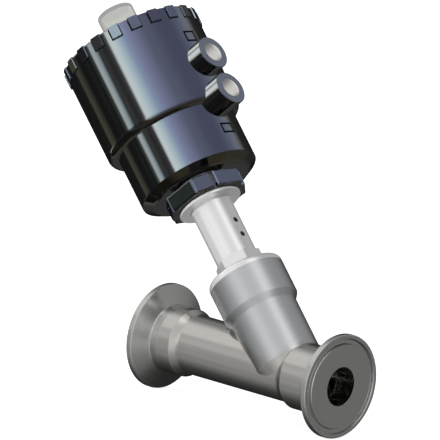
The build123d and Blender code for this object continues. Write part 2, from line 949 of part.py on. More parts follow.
def build():
    """All pieces of the valve by name."""
    pieces = {
        "valve_body": valve_body(),
        "port_1_ferrule": pipe_plane.location * ferrule(),
        "port_2_ferrule": port_2_plane.location * ferrule(),
        "bonnet": bonnet(),
        "bonnet_gasket": on_branch(ring(chamber_radius, bonnet_bore_radius, gasket_level, bonnet_bottom)),
        "packing_circlip": circlip(circlip_level),
        "lower_guide_bush": bush(lower_bush_level, lower_ring_level),
        "packing_lower_ring": packing_lower_ring(),
        "packing_upper_ring": packing_upper_ring(),
        "packing_spring": packing_spring(),
        "upper_guide_bush": bush(upper_bush_level, rod_seal_level),
        "rod_seal": rod_seal(),
        "rod_seal_washer": bush(rod_washer_level, rod_circlip_level),
        "rod_seal_circlip": circlip(rod_circlip_level),
        "thrust_washer": on_branch(ring(
            nipple_radius + swivel_clearance, neck_rim_radius - thrust_washer_inset, neck_top, claw_bottom)),
        "swivel_washer": on_branch(ring(
            nipple_radius + swivel_clearance, swivel_nut_radius, floor_top, swivel_nut_level)),
        "swivel_nut": swivel_nut(),
        "swivel_o_ring": seal_ring(nipple_radius, swivel_ring_level, swivel_ring_wire),
        "actuator_housing": actuator_housing(),
        "lower_port_insert": port_insert(port_levels[0]),
        "upper_port_insert": port_insert(port_levels[1]),
        "housing_cover": housing_cover(),
        "cover_o_ring": seal_ring(cover_radius, cover_ring_level, cover_ring_wire),
        "indicator_cap": indicator_cap(),
        "cap_o_ring": seal_ring(cap_radius, cap_ring_level, cap_ring_wire),
        "spindle": spindle(),
        "plug": plug(),
        "plug_seal": plug_seal(),
        "seal_retainer": seal_retainer(),
        "plug_pin": on_branch(plug_pin_bar()),
        "plug_nut": hexagon_nut(spindle_tip_radius, plug_nut_across, plug_nut_level, retainer_level),
        "piston": piston(),
        "piston_seal": piston_seal(),
        "piston_guide_band": guide_band(),
        "piston_o_ring": on_branch(round_ring(
            spindle_top_radius + piston_ring_wire + ring_gap,
            piston_level + piston_ring_wire + ring_gap, piston_ring_wire)),
        "piston_washer": on_branch(ring(
            spindle_top_radius, piston_washer_radius, piston_hub_top, piston_nut_level)),
        "piston_nut": hexagon_nut(
            spindle_top_radius, piston_nut_across, piston_nut_level, piston_nut_top),
        "outer_closing_spring": closing_spring(
            outer_spring_radius, outer_spring_wire, outer_spring_turns),
        "inner_closing_spring": closing_spring(
            inner_spring_radius, inner_spring_wire, inner_spring_turns),
        "position_indicator": position_indicator(),
    }
    for index in range(chevron_count):
        pieces[f"chevron_ring_{index + 1}"] = chevron(chevron_level + index * chevron_pitch)
    return pieces


os.makedirs("parts", exist_ok=True)
for name, solid in build().items():
    export_step(solid, f"parts/{name}.step")
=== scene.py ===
"""Looks of a pneumatic seat valve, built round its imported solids. Metres."""

import json
import logging
from dataclasses import dataclass
from enum import Enum
from math import pi, radians, sqrt, tau

import bpy
import numpy as np
from mathutils import Matrix, Vector

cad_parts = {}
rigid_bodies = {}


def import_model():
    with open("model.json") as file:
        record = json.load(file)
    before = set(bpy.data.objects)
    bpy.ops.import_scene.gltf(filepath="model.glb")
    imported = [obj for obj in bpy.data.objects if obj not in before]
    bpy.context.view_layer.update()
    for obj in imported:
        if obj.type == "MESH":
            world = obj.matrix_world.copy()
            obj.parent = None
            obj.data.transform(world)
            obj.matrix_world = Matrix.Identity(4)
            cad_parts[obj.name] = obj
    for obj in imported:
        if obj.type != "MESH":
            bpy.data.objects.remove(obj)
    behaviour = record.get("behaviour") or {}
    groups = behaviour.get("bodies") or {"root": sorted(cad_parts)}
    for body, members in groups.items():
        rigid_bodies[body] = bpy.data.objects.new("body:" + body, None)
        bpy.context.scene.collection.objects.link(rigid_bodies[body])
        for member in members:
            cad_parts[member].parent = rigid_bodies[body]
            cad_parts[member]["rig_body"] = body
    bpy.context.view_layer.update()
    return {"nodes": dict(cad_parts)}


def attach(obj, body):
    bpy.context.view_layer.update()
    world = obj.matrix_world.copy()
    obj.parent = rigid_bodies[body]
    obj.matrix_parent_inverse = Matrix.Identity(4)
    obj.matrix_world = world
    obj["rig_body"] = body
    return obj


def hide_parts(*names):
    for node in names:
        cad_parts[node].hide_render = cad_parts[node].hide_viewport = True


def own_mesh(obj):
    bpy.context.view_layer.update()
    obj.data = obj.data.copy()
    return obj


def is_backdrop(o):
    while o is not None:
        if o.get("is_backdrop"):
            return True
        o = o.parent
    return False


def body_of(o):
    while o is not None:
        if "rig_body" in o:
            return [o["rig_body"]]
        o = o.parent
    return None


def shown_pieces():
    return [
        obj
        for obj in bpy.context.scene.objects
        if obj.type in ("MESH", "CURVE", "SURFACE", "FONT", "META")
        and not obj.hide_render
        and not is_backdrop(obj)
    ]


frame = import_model()
log = logging.getLogger("seat_valve")

Triple = tuple[float, float, float]
Quad = tuple[float, float, float, float]
Stops = tuple[tuple[float, object], ...]
WHITE = (1.0, 1.0, 1.0, 1.0)
STREAK_STRETCH = 40.0
CLOUD_SIZE = 0.012
CLOUD_SPREAD = 0.03
TUBE_END_SHARE = 0.02


@dataclass(frozen=True)
class Axis:
    """A straight axis of the valve with two directions square to it."""

    origin: Triple
    along: Triple
    first: Triple
    second: Triple

    def points(self, radius: np.ndarray, angle: np.ndarray, level: np.ndarray) -> np.ndarray:
        """Turns cylinder coordinates into places.

        Each place is the origin, plus the level along the axis, plus the radius
        times the cosine and sine of the angle along the two square directions.

        Args:
            radius: Distances from the axis.
            angle: Angles in radians, from the first square direction.
            level: Distances along the axis.

        Returns:
            An array with one more dimension, of length three.
        """
        radius, angle, level = np.broadcast_arrays(radius, angle, level)
        return (
            np.array(self.origin)
            + level[..., None] * np.array(self.along)
            + (radius * np.cos(angle))[..., None] * np.array(self.first)
            + (radius * np.sin(angle))[..., None] * np.array(self.second)
        )


HALF = sqrt(0.5)
BRANCH = Axis((0.0845, 0.0, 0.0), (-HALF, 0.0, HALF), (0.0, -1.0, 0.0), (HALF, 0.0, HALF))
BOSS = Axis((0.0845, 0.0, 0.0), (HALF, 0.0, HALF), (0.0, -1.0, 0.0), (-HALF, 0.0, HALF))
PIPE = Axis((0.0, 0.0, 0.0), (1.0, 0.0, 0.0), (0.0, -1.0, 0.0), (0.0, 0.0, 1.0))


class Body(Enum):
    """The rigid bodies that pieces ride on."""

    VALVE = "valve"
    DRIVE = "actuator"
    STEM = "stem"


class Marks(Enum):
    """How the tool that made a steel surface left its marks."""

    TURNED = "rings round the axis"
    DRAWN = "streaks along the axis"
    BLASTED = "an even fine grain"


class NodeSheet:
    """Shader nodes of one material or group, made and joined by short calls."""

    def __init__(self, tree: bpy.types.NodeTree) -> None:
        """Starts an empty sheet on a node tree."""
        self.tree = tree
        tree.nodes.clear()

    def add(self, kind: str, values: dict | None = None, **settings: object) -> bpy.types.Node:
        """Adds a node.

        Args:
            kind: The node's type name after "ShaderNode".
            values: Input names or numbers with a constant or a socket to join.
            settings: Attributes of the node.

        Returns:
            The new node.
        """
        node = self.tree.nodes.new("ShaderNode" + kind)
        for name, value in settings.items():
            setattr(node, name, value)
        for name, value in (values or {}).items():
            if isinstance(value, bpy.types.NodeSocket):
                self.tree.links.new(value, node.inputs[name])
            else:
                node.inputs[name].default_value = value
        return node

    def maths(self, operation: str, first: object, second: object = 0.0) -> bpy.types.NodeSocket:
        """Result of one arithmetic step on two values or sockets."""
        return self.add("Math", {0: first, 1: second}, operation=operation).outputs[0]

    def vector(self, operation: str, first: object, second: object = (0.0, 0.0, 0.0)) -> bpy.types.Node:
        """Node that does one vector step on two vectors or sockets."""
        return self.add("VectorMath", {0: first, 1: second}, operation=operation)

    def scaled(self, value: bpy.types.NodeSocket, low: float, high: float) -> bpy.types.NodeSocket:
        """Value that runs from low to high as the given mask runs from 0 to 1."""
        return self.add("MapRange", {"Value": value, "To Min": low, "To Max": high}).outputs[0]

    def blend(self, mask: bpy.types.NodeSocket, low: Quad, high: Quad) -> bpy.types.NodeSocket:
        """Colour that runs from low to high as the given mask runs from 0 to 1."""
        node = self.add("Mix", {0: mask, 6: low, 7: high}, data_type="RGBA")
        return node.outputs[2]


class Effects:
    """Shader groups that several finishes share, each built once."""

    def __init__(self) -> None:
        """Builds the groups."""
        self.rings = self._rings()
        self.streaks = self._streaks()
        self.grain = self._grain()

    @staticmethod
    def _group(name: str, inputs: dict[str, str], output: str) -> tuple[bpy.types.NodeTree, NodeSheet]:
        """Starts a group with named inputs and one output number."""
        tree = bpy.data.node_groups.new(name, "ShaderNodeTree")
        sheet = NodeSheet(tree)
        for label, kind in inputs.items():
            tree.interface.new_socket(label, in_out="INPUT", socket_type=kind)
        tree.interface.new_socket(output, in_out="OUTPUT", socket_type="NodeSocketFloat")
        return tree, sheet

    @staticmethod
    def _finish(sheet: NodeSheet, value: bpy.types.NodeSocket) -> None:
        """Joins the group's only output."""
        out = sheet.tree.nodes.new("NodeGroupOutput")
        sheet.tree.links.new(value, out.inputs[0])

    def _rings(self) -> bpy.types.NodeTree:
        """Lathe rings: noise over the level along an axis and the distance from it."""
        tree, sheet = self._group(
            "lathe_rings",
            {"Origin": "NodeSocketVector", "Axis": "NodeSocketVector", "Spacing": "NodeSocketFloat"},
            "Rings",
        )
        given = tree.nodes.new("NodeGroupInput")
        place = sheet.add("TexCoord").outputs["Object"]
        offset = sheet.vector("SUBTRACT", place, given.outputs["Origin"]).outputs[0]
        level = sheet.vector("DOT_PRODUCT", offset, given.outputs["Axis"]).outputs[1]
        radius = sheet.vector(
            "LENGTH", sheet.vector("CROSS_PRODUCT", offset, given.outputs["Axis"]).outputs[0]
        ).outputs[1]
        across = sheet.add("CombineXYZ", {0: level, 1: radius}).outputs[0]
        scale = sheet.maths("DIVIDE", 1.0, given.outputs["Spacing"])
        noise = sheet.add("TexNoise", {"Vector": across, "Scale": scale, "Detail": 3.0, "Roughness": 0.6})
        self._finish(sheet, noise.outputs[0])
        return tree

    def _streaks(self) -> bpy.types.NodeTree:
        """Drawn streaks: noise whose length along an axis is stretched forty times."""
        tree, sheet = self._group(
            "drawn_streaks", {"Axis": "NodeSocketVector", "Width": "NodeSocketFloat"}, "Streaks"
        )
        given = tree.nodes.new("NodeGroupInput")
        place = sheet.add("TexCoord").outputs["Object"]
        level = sheet.vector("DOT_PRODUCT", place, given.outputs["Axis"]).outputs[1]
        share = sheet.maths("MULTIPLY", level, 1.0 - 1.0 / STREAK_STRETCH)
        pull = sheet.add("VectorMath", {0: given.outputs["Axis"], 3: share},
                         operation="SCALE").outputs[0]
        flat = sheet.vector("SUBTRACT", place, pull).outputs[0]
        scale = sheet.maths("DIVIDE", 1.0, given.outputs["Width"])
        noise = sheet.add("TexNoise", {"Vector": flat, "Scale": scale, "Detail": 4.0, "Roughness": 0.65})
        self._finish(sheet, noise.outputs[0])
        return tree

    def _grain(self) -> bpy.types.NodeTree:
        """Even grain: three octaves of noise of a given size."""
        tree, sheet = self._group("even_grain", {"Size": "NodeSocketFloat"}, "Grain")
        given = tree.nodes.new("NodeGroupInput")
        place = sheet.add("TexCoord").outputs["Object"]
        scale = sheet.maths("DIVIDE", 1.0, given.outputs["Size"])
        noise = sheet.add("TexNoise", {"Vector": place, "Scale": scale, "Detail": 3.0, "Roughness": 0.55})
        self._finish(sheet, noise.outputs[0])
        return tree


def shade(value: float, colour: Triple) -> Quad:
    """Colour times a brightness, with full alpha."""
    return (colour[0] * value, colour[1] * value, colour[2] * value, 1.0)


@dataclass(frozen=True)
class Finish:
    """A surface finish: its slot in the record, its colour and how rough it is."""

    slot: str
    colour: Triple
    roughness: float

    def start(self, name: str) -> tuple[bpy.types.Material, NodeSheet, bpy.types.Node]:
        """Makes an empty material.

        Args:
            name: Name of the material.

        Returns:
            The material, its node sheet and its Principled shader.
        """
        material = bpy.data.materials.new(name)
        material.use_nodes = True
        sheet = NodeSheet(material.node_tree)
        shader = sheet.add("BsdfPrincipled", {"Base Color": shade(1.0, self.colour), "Roughness": self.roughness})
        out = sheet.add("OutputMaterial")
        sheet.tree.links.new(shader.outputs[0], out.inputs[0])
        return material, sheet, shader

    @staticmethod
    def join(sheet: NodeSheet, value: bpy.types.NodeSocket, shader: bpy.types.Node, name: str) -> None:
        """Feeds a value into a socket of the shader."""
        sheet.tree.links.new(value, shader.inputs[name])

    @staticmethod
    def bump(sheet: NodeSheet, height: bpy.types.NodeSocket, shader: bpy.types.Node, depth: float,
             edge: float = 0.0) -> None:
        """Raises the surface by a height map of the given depth in metres, and softens its edges."""
        node = sheet.add("Bump", {"Height": height, "Strength": 1.0, "Distance": depth})
        if edge:
            soft = sheet.add("Bevel", {"Radius": edge}, samples=4)
            sheet.tree.links.new(soft.outputs[0], node.inputs["Normal"])
        sheet.tree.links.new(node.outputs[0], shader.inputs["Normal"])

    @staticmethod
    def effect(sheet: NodeSheet, tree: bpy.types.NodeTree, values: dict[str, object]) -> bpy.types.NodeSocket:
        """Places a shared effect in the material with its own values."""
        node = sheet.tree.nodes.new("ShaderNodeGroup")
        node.node_tree = tree
        for name, value in values.items():
            node.inputs[name].default_value = value
        return node.outputs[0]

    def build(self, effects: Effects) -> bpy.types.Material:
        """Makes the material. Each finish says how."""
        raise NotImplementedError


@dataclass(frozen=True)
class Steel(Finish):
    """Stainless steel with the marks of the way it was worked."""

    marks: Marks = Marks.TURNED
    axis: Axis = BRANCH
    size: float = 0.0004
    spread: float = 0.08
    depth: float = 0.000004
    tone: float = 0.06
    edge: float = 0.00015

    def build(self, effects: Effects) -> bpy.types.Material:
        """Makes the steel: marks change its tone, its roughness and its height."""
        material, sheet, shader = self.start(f"{self.slot}_{self.marks.name.lower()}")
        shader.inputs["Metallic"].default_value = 1.0
        if self.marks is Marks.TURNED:
            mask = self.effect(sheet, effects.rings, {
                "Origin": self.axis.origin, "Axis": self.axis.along, "Spacing": self.size})
        elif self.marks is Marks.DRAWN:
            mask = self.effect(sheet, effects.streaks, {"Axis": self.axis.along, "Width": self.size})
        else:
            mask = self.effect(sheet, effects.grain, {"Size": self.size})
        cloud = self.effect(sheet, effects.grain, {"Size": CLOUD_SIZE})
        tint = sheet.blend(mask, shade(1.0 - self.tone, self.colour), shade(1.0 + self.tone, self.colour))
        self.join(sheet, tint, shader, "Base Color")
        rough = sheet.scaled(mask, self.roughness - self.spread, self.roughness + self.spread)
        patchy = sheet.maths("ADD", rough, sheet.scaled(cloud, -CLOUD_SPREAD, CLOUD_SPREAD))
        self.join(sheet, patchy, shader, "Roughness")
        self.bump(sheet, mask, shader, self.depth, self.edge)
        return material


@dataclass(frozen=True)
class BodySteel(Steel):
    """Cast stainless steel, blasted on its branch and polished on its pipe."""

    pipe_colour: Triple = (0.60, 0.59, 0.56)
    pipe_roughness: float = 0.14
    pipe_reach: float = 0.0168
    blend_width: float = 0.0014
    streak_width: float = 0.0009
    polish_depth: float = 0.12
    edge: float = 0.0003

    def build(self, effects: Effects) -> bpy.types.Material:
        """Makes the steel: it is polished where its distance from the pipe's axis is small."""
        material, sheet, shader = self.start(self.slot)
        shader.inputs["Metallic"].default_value = 1.0
        place = sheet.add("TexCoord").outputs["Object"]
        apart = sheet.vector("LENGTH", sheet.vector("CROSS_PRODUCT", place, PIPE.along).outputs[0]).outputs[1]
        blasted = sheet.add("MapRange", {
            "Value": apart,
            "From Min": self.pipe_reach,
            "From Max": self.pipe_reach + self.blend_width,
        }).outputs[0]
        grain = self.effect(sheet, effects.grain, {"Size": self.size})
        streaks = self.effect(sheet, effects.streaks, {"Axis": PIPE.along, "Width": self.streak_width})
        cloud = self.effect(sheet, effects.grain, {"Size": CLOUD_SIZE})
        low, high = 1.0 - self.tone, 1.0 + self.tone
        skin = sheet.blend(grain, shade(low, self.colour), shade(high, self.colour))
        shine = sheet.blend(streaks, shade(low, self.pipe_colour), shade(high, self.pipe_colour))
        tint = sheet.add("Mix", {0: blasted, 6: shine, 7: skin}, data_type="RGBA").outputs[2]
        self.join(sheet, tint, shader, "Base Color")
        marks = sheet.add("Mix", {0: blasted, 2: streaks, 3: grain}, data_type="FLOAT").outputs[0]
        level = sheet.scaled(blasted, self.pipe_roughness, self.roughness)
        rough = sheet.maths("ADD", level, sheet.scaled(marks, -self.spread, self.spread))
        patchy = sheet.maths("ADD", rough, sheet.scaled(cloud, -CLOUD_SPREAD, CLOUD_SPREAD))
        self.join(sheet, patchy, shader, "Roughness")
        height = sheet.maths("MULTIPLY", marks, sheet.scaled(blasted, self.polish_depth, 1.0))
        self.bump(sheet, height, shader, self.depth, self.edge)
        return material


@dataclass(frozen=True)
class GlossPlastic(Finish):
    """Moulded plastic with a glossy skin and the faint ripple of its mould."""

    coat: float = 0.15
    specular: float = 0.06
    ripple: float = 0.0000015
    wave_size: float = 0.0035
    patch_size: float = 0.02
    edge: float = 0.00025

    def build(self, effects: Effects) -> bpy.types.Material:
        """Makes the plastic: a fine ripple, and patches that are a little duller."""
        material, sheet, shader = self.start(self.slot)
        shader.inputs["Coat Weight"].default_value = self.coat
        shader.inputs["Coat Roughness"].default_value = 0.02
        shader.inputs["Specular IOR Level"].default_value = self.specular
        wave = self.effect(sheet, effects.grain, {"Size": self.wave_size})
        patch = self.effect(sheet, effects.grain, {"Size": self.patch_size})
        self.join(sheet, sheet.scaled(patch, self.roughness * 0.7, self.roughness * 1.3), shader, "Roughness")
        tint = sheet.blend(patch, shade(0.85, self.colour), shade(1.15, self.colour))
        self.join(sheet, tint, shader, "Base Color")
        self.bump(sheet, wave, shader, self.ripple, self.edge)
        return material


@dataclass(frozen=True)
class ClearPlastic(Finish):
    """Clear moulded plastic with a slightly milky skin."""

    refraction: float = 1.25
    cloud_size: float = 0.004
    depth: float = 0.000002

    def build(self, effects: Effects) -> bpy.types.Material:
        """Makes the clear plastic, with a faint unevenness in its skin."""
        material, sheet, shader = self.start(self.slot)
        shader.inputs["Transmission Weight"].default_value = 1.0
        shader.inputs["IOR"].default_value = self.refraction
        cloud = self.effect(sheet, effects.grain, {"Size": self.cloud_size})
        self.join(sheet, sheet.scaled(cloud, self.roughness * 0.8, self.roughness * 1.2), shader, "Roughness")
        self.bump(sheet, cloud, shader, self.depth)
        return material


@dataclass(frozen=True)
class DullPlastic(Finish):
    """Plastic, rubber or sintered metal with a fine even skin."""

    size: float = 0.0004
    depth: float = 0.00001
    metal: float = 0.0
    specular: float = 0.5
    tone: float = 0.12
    spread: float = 0.06

    def build(self, effects: Effects) -> bpy.types.Material:
        """Makes the dull surface: grain in its tone, its roughness and its height."""
        material, sheet, shader = self.start(self.slot)
        shader.inputs["Metallic"].default_value = self.metal
        shader.inputs["Specular IOR Level"].default_value = self.specular
        grain = self.effect(sheet, effects.grain, {"Size": self.size})
        tint = sheet.blend(grain, shade(1.0 - self.tone, self.colour), shade(1.0 + self.tone, self.colour))
        self.join(sheet, tint, shader, "Base Color")
        rough = sheet.scaled(grain, self.roughness - self.spread, self.roughness + self.spread)
        self.join(sheet, rough, shader, "Roughness")
        self.bump(sheet, grain, shader, self.depth)
        return material


def grid_mesh(name: str, places: np.ndarray, closed: tuple[bool, bool], flip: bool = False) -> bpy.types.Object:
    """Makes a surface from a grid of places, or from several grids of one size.

    Each cell of a grid is one face with four corners. A closed direction joins
    its last row to its first.

    Args:
        name: Name of the piece.
        places: Array of rows, columns and three coordinates. Several grids have
            one more dimension in front.
        closed: Whether rows and columns join round.
        flip: Turns the faces' outer side round.

    Returns:
        The new object, smoothly shaded.
    """
    rows, columns = places.shape[-3:-1]
    index = np.arange(places.size // 3).reshape(-1, rows, columns)
    down = np.roll(index, -1, axis=1)
    right = np.roll(index, -1, axis=2)
    both = np.roll(down, -1, axis=2)
    cells = np.stack([index, down, both, right], axis=-1)
    cells = cells[:, : rows if closed[0] else rows - 1, : columns if closed[1] else columns - 1].reshape(-1, 4)
    if flip:
        cells = cells[:, ::-1]
    mesh = bpy.data.meshes.new(name)
    mesh.from_pydata(places.reshape(-1, 3).tolist(), [], cells.tolist())
    mesh.polygons.foreach_set("use_smooth", np.ones(len(cells), bool))
    mesh.update()
    obj = bpy.data.objects.new(name, mesh)
    bpy.context.scene.collection.objects.link(obj)
    return obj


def tube_rings(path: np.ndarray, wire: float, sides: int) -> np.ndarray:
    """Round tube along a path.

    At each point of the path a circle stands square to the path's direction,
    one of its axes as near as possible to the branch's axis. The first and last
    circles shrink to almost nothing, which closes the ends.

    Args:
        path: Points along the middle of the tube.
        wire: Radius of the tube.
        sides: Points round the tube.

    Returns:
        Array of path points, sides and three coordinates.
    """
    along = np.gradient(path, axis=0)
    along /= np.linalg.norm(along, axis=1, keepdims=True)
    up = np.array(BRANCH.along) - (along @ np.array(BRANCH.along))[:, None] * along
    up /= np.linalg.norm(up, axis=1, keepdims=True)
    side = np.cross(along, up)
    turn = np.linspace(0, tau, sides, endpoint=False)
    swell = np.full(len(path), wire)
    swell[[0, -1]] = wire * TUBE_END_SHARE
    circle = np.cos(turn)[None, :, None] * up[:, None, :] + np.sin(turn)[None, :, None] * side[:, None, :]
    return path[:, None, :] + swell[:, None, None] * circle


@dataclass
class Spring:
    """A compression spring of round wire with flat end turns, in the branch's axis."""

    name: str
    node: str
    radius: float
    wire: float
    low: float
    high: float
    turns: float
    end_turns: float = 1.0
    steps: int = 48
    sides: int = 12

    def build(self) -> bpy.types.Object:
        """Makes the spring.

        The middle of the wire goes round the axis at a constant radius. Its level
        stays flat over each end turn, apart from one wire's thickness, and rises
        evenly between them.

        Returns:
            The spring's object.
        """
        total = self.turns + 2 * self.end_turns
        turn = np.linspace(0, total, int(total * self.steps) + 1)
        ends = [0, self.end_turns, total - self.end_turns, total]
        low, high = self.low + self.wire, self.high - self.wire
        levels = [low, low + 2 * self.wire, high - 2 * self.wire, high]
        level = np.interp(turn, ends, levels)
        path = BRANCH.points(np.full_like(turn, self.radius), turn * tau, level)
        return grid_mesh(self.name, tube_rings(path, self.wire, self.sides), (False, True), flip=True)


@dataclass
class WeldBead:
    """The flat polished weld between a clamp ferrule and the body."""

    name: str
    level: float
    radius: float = 0.0163
    width: float = 0.00035
    height: float = 0.00008
    ripples: int = 90
    ripple_share: float = 0.18
    swells: int = 7
    swell_share: float = 0.1
    steps: int = 360
    sides: int = 16

    def build(self) -> bpy.types.Object:
        """Makes the bead.

        A flattened oval is carried round the pipe. Its height swells and shrinks
        a little, many times on the way, as the ripples of a weld do.

        Returns:
            The bead's object.
        """
        around = np.linspace(0, tau, self.steps, endpoint=False)[:, None]
        section = np.linspace(0, tau, self.sides, endpoint=False)[None, :]
        ripple = self.ripple_share * np.sin(around * self.ripples)
        swell = self.swell_share * np.sin(around * self.swells + 1.0)
        rise = self.height * (1.0 + ripple + swell) * np.sin(section)
        places = PIPE.points(self.radius + rise, around, self.level + self.width * np.cos(section))
        return grid_mesh(self.name, places, (True, True), flip=True)


@dataclass
class PortThread:
    """The threaded metal insert of an air port, with a real thread in it."""

    name: str
    level: float
    reach: float = 0.0419
    depth: float = 0.008
    outer: float = 0.0062
    inner: float = 0.0043
    lip: float = 0.00495
    lip_height: float = 0.001
    root: float = 0.00058
    pitch: float = 0.000907
    way: float = 0.0016
    floor: float = 0.0006
    chamfer: float = 0.00045
    plain: float = 0.0008
    fade: float = 0.0004
    crest: float = 1.6
    cut_in: float = 0.3
    steps: int = 150
    sides: int = 96

    def build(self) -> bpy.types.Object:
        """Makes the insert.

        A closed outline of radius and depth goes down the bore, over the floor to
        the air way, back under the floor and up the outside to the narrower lip.
        It is carried round the port's axis. In the bore its radius grows by a wave
        of the depth less the share of the turn, which winds the thread. The thread
        fades out over a short plain length above the floor.

        Returns:
            The insert's object.
        """
        bottom = self.depth - self.floor
        bore = np.linspace(0.0, bottom, self.steps)
        mouth = np.clip(1.0 - bore / self.chamfer, 0.0, 1.0) * self.chamfer
        outside = [self.way, self.way, self.outer, self.outer, self.lip, self.lip]
        radius = np.concatenate([np.full_like(bore, self.inner), outside])
        levels = [bottom, self.depth, self.depth, self.lip_height, self.lip_height, 0.0]
        drop = np.concatenate([bore, levels])
        still = np.zeros(len(outside))
        flare = np.concatenate([mouth, still])
        cut = np.concatenate([np.clip((bottom - self.plain - bore) / self.fade, 0.0, 1.0), still])
        turn = np.linspace(0, tau, self.sides, endpoint=False)[None, :]
        phase = (drop[:, None] / self.pitch - turn / tau) % 1.0
        wave = 1.0 - np.abs(2.0 * phase - 1.0)
        tooth = self.root * np.clip(self.crest * wave - self.cut_in, 0.0, 1.0)
        radius = radius[:, None] + np.maximum(flare[:, None], tooth * cut[:, None])
        side = np.array(BRANCH.first)
        up = np.array(BRANCH.along)
        out = np.array(BRANCH.second)
        centre = np.array(BRANCH.origin) + self.level * up + self.reach * out
        places = (
            centre
            - drop[:, None, None] * out
            + (radius * np.cos(turn))[..., None] * side
            + (radius * np.sin(turn))[..., None] * up
        )
        return grid_mesh(self.name, places, (True, True))


@dataclass
class BlankFrame:
    """Plain square frames on the drive's side: one, or a row of them round it."""

    name: str
    radius: float
    low: float
    high: float
    start: float
    stop: float
    line: float = 0.00095
    proud: float = 0.00018
    turns: tuple[float, ...] = (0.0,)
    steps: int = 12
    ridge_offsets: tuple[float, ...] = (0.0, 0.0, 0.12, 0.88, 1.0, 1.0)
    ridge_heights: tuple[float, ...] = (-0.3, 0.6, 1.0, 1.0, 0.6, -0.3)

    def build(self) -> bpy.types.Object:
        """Makes the frame, or a row of frames round the casing.

        A low flat-topped ridge is carried round a square that lies on the casing.
        The square's own coordinates are the distance round the casing and the
        level, so the ridge bends with the casing. The same square is turned
        about the branch's axis for each further frame.

        Returns:
            The frame's object.
        """
        corners = np.array([[0, 0], [1, 0], [1, 1], [0, 1]], float)
        across = self.radius * (self.stop - self.start)
        tall = self.high - self.low
        shares = np.linspace(0, 1, self.steps, endpoint=False)
        nearby = np.roll(corners, -1, axis=0)
        middle = (corners[:, None, :] + shares[None, :, None] * (nearby - corners)[:, None, :]).reshape(-1, 2)
        inward = 0.5 - middle
        inward = np.sign(inward) * (np.abs(inward) > 0.499)
        offsets = np.array(self.ridge_offsets) * self.line
        heights = np.array(self.ridge_heights) * self.proud
        flat = middle[:, None, :] * np.array([across, tall]) + offsets[None, :, None] * inward[:, None, :]
        angle = self.start + flat[..., 0] / self.radius + np.array(self.turns)[:, None, None]
        places = BRANCH.points(self.radius + heights[None, None, :], angle, self.low + flat[None, ..., 1])
        return grid_mesh(self.name, places, (True, True), flip=True)


@dataclass
class Dresser:
    """Gives solids and new pieces their finishes and bodies."""

    finishes: dict[str, bpy.types.Material]
    slots: dict[str, str]

    def dress(self, obj: bpy.types.Object, material: str) -> None:
        """Puts one material on an object."""
        obj.data.materials.clear()
        obj.data.materials.append(self.finishes[material])

    def solids(self, looks: dict[str, list[str]]) -> None:
        """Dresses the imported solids.

        Args:
            looks: Material name with the nodes that wear it.
        """
        for material, nodes in looks.items():
            for node in nodes:
                self.dress(frame["nodes"][node], material)
            log.info("dressed %d solids in %s", len(nodes), material)
        undressed = set(frame["nodes"]) - {n for nodes in looks.values() for n in nodes}
        if undressed:
            raise ValueError(f"no finish for {sorted(undressed)}")

    def piece(self, obj: bpy.types.Object, material: str, body: Body, nodes: tuple[str, ...] = ()
              ) -> bpy.types.Object:
        """Finishes a new piece.

        Args:
            obj: The piece.
            material: Name of its finish.
            body: The body that it rides on.
            nodes: The solids that it stands for.

        Returns:
            The piece.
        """
        self.dress(obj, material)
        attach(obj, body.value)
        if nodes:
            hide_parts(*nodes)
        log.info("made %s with %d faces", obj.name, len(obj.data.polygons))
        return obj


class Finishes:
    """Every finish of the valve by name."""

    TABLE: dict[str, Finish] = {
        "cast_body": BodySteel(
            "cast_steel", (0.61, 0.625, 0.64), 0.30, Marks.BLASTED, PIPE, 0.0006, 0.05, 0.000006),
        "ferrule": Steel("polished_steel", (0.60, 0.60, 0.58), 0.20, Marks.TURNED, PIPE, 0.0005),
        "bonnet": Steel(
            "satin_steel", (0.86, 0.86, 0.86), 0.30, Marks.TURNED, BRANCH, 0.0004, 0.05, 0.000001, 0.02),
        "turned": Steel("turned_steel", (0.66, 0.66, 0.66), 0.26, Marks.TURNED, BRANCH, 0.0004),
        "ground": Steel("ground_steel", (0.74, 0.75, 0.76), 0.12, Marks.TURNED, BRANCH, 0.0003, 0.04),
        "spring": Steel("spring_steel", (0.42, 0.42, 0.44), 0.32, Marks.BLASTED, BRANCH, 0.0008),
        "insert": Steel("port_metal", (0.85, 0.84, 0.81), 0.34, Marks.BLASTED, BRANCH, 0.0004),
        "bronze": DullPlastic("guide_bronze", (0.55, 0.42, 0.26), 0.42, 0.0003, 0.00001, 1.0),
        "white_seal": DullPlastic("white_seal", (0.86, 0.86, 0.82), 0.45, 0.0008),
        "rubber": DullPlastic("black_rubber", (0.018, 0.018, 0.018), 0.6, 0.0003),
        "casing": GlossPlastic("black_plastic", (0.003, 0.0032, 0.004), 0.07),
        # Black of the blank frames' print and of the painted shade lines round the lugs.
        "print_and_painted_shade_black": DullPlastic("black_plastic", (0.003, 0.003, 0.005), 0.55, specular=0.1),
        "piston": DullPlastic("grey_plastic", (0.22, 0.23, 0.24), 0.45, 0.0004),
        "signal": GlossPlastic("signal_plastic", (0.80, 0.42, 0.02), 0.22, 0.4, 0.5),
        "clear": ClearPlastic("clear_plastic", (0.93, 0.94, 0.92), 0.05),
    }

    @classmethod
    def build(cls, effects: Effects) -> dict[str, bpy.types.Material]:
        """Makes every material of the table."""
        return {name: finish.build(effects) for name, finish in cls.TABLE.items()}

    @classmethod
    def slots(cls) -> dict[str, str]:
        """The record's slot of each finish."""
        return {name: finish.slot for name, finish in cls.TABLE.items()}


@dataclass
class Fittings:
    """The welds of the clamp ends."""

    welds: tuple[float, float] = (0.011, 0.1035)

    def build(self, dresser: Dresser) -> None:
        """Makes the weld beads."""
        for number, level in enumerate(self.welds, 1):
            bead = WeldBead(f"weld_bead_{number}", level).build()
            dresser.piece(bead, "ferrule", Body.VALVE)


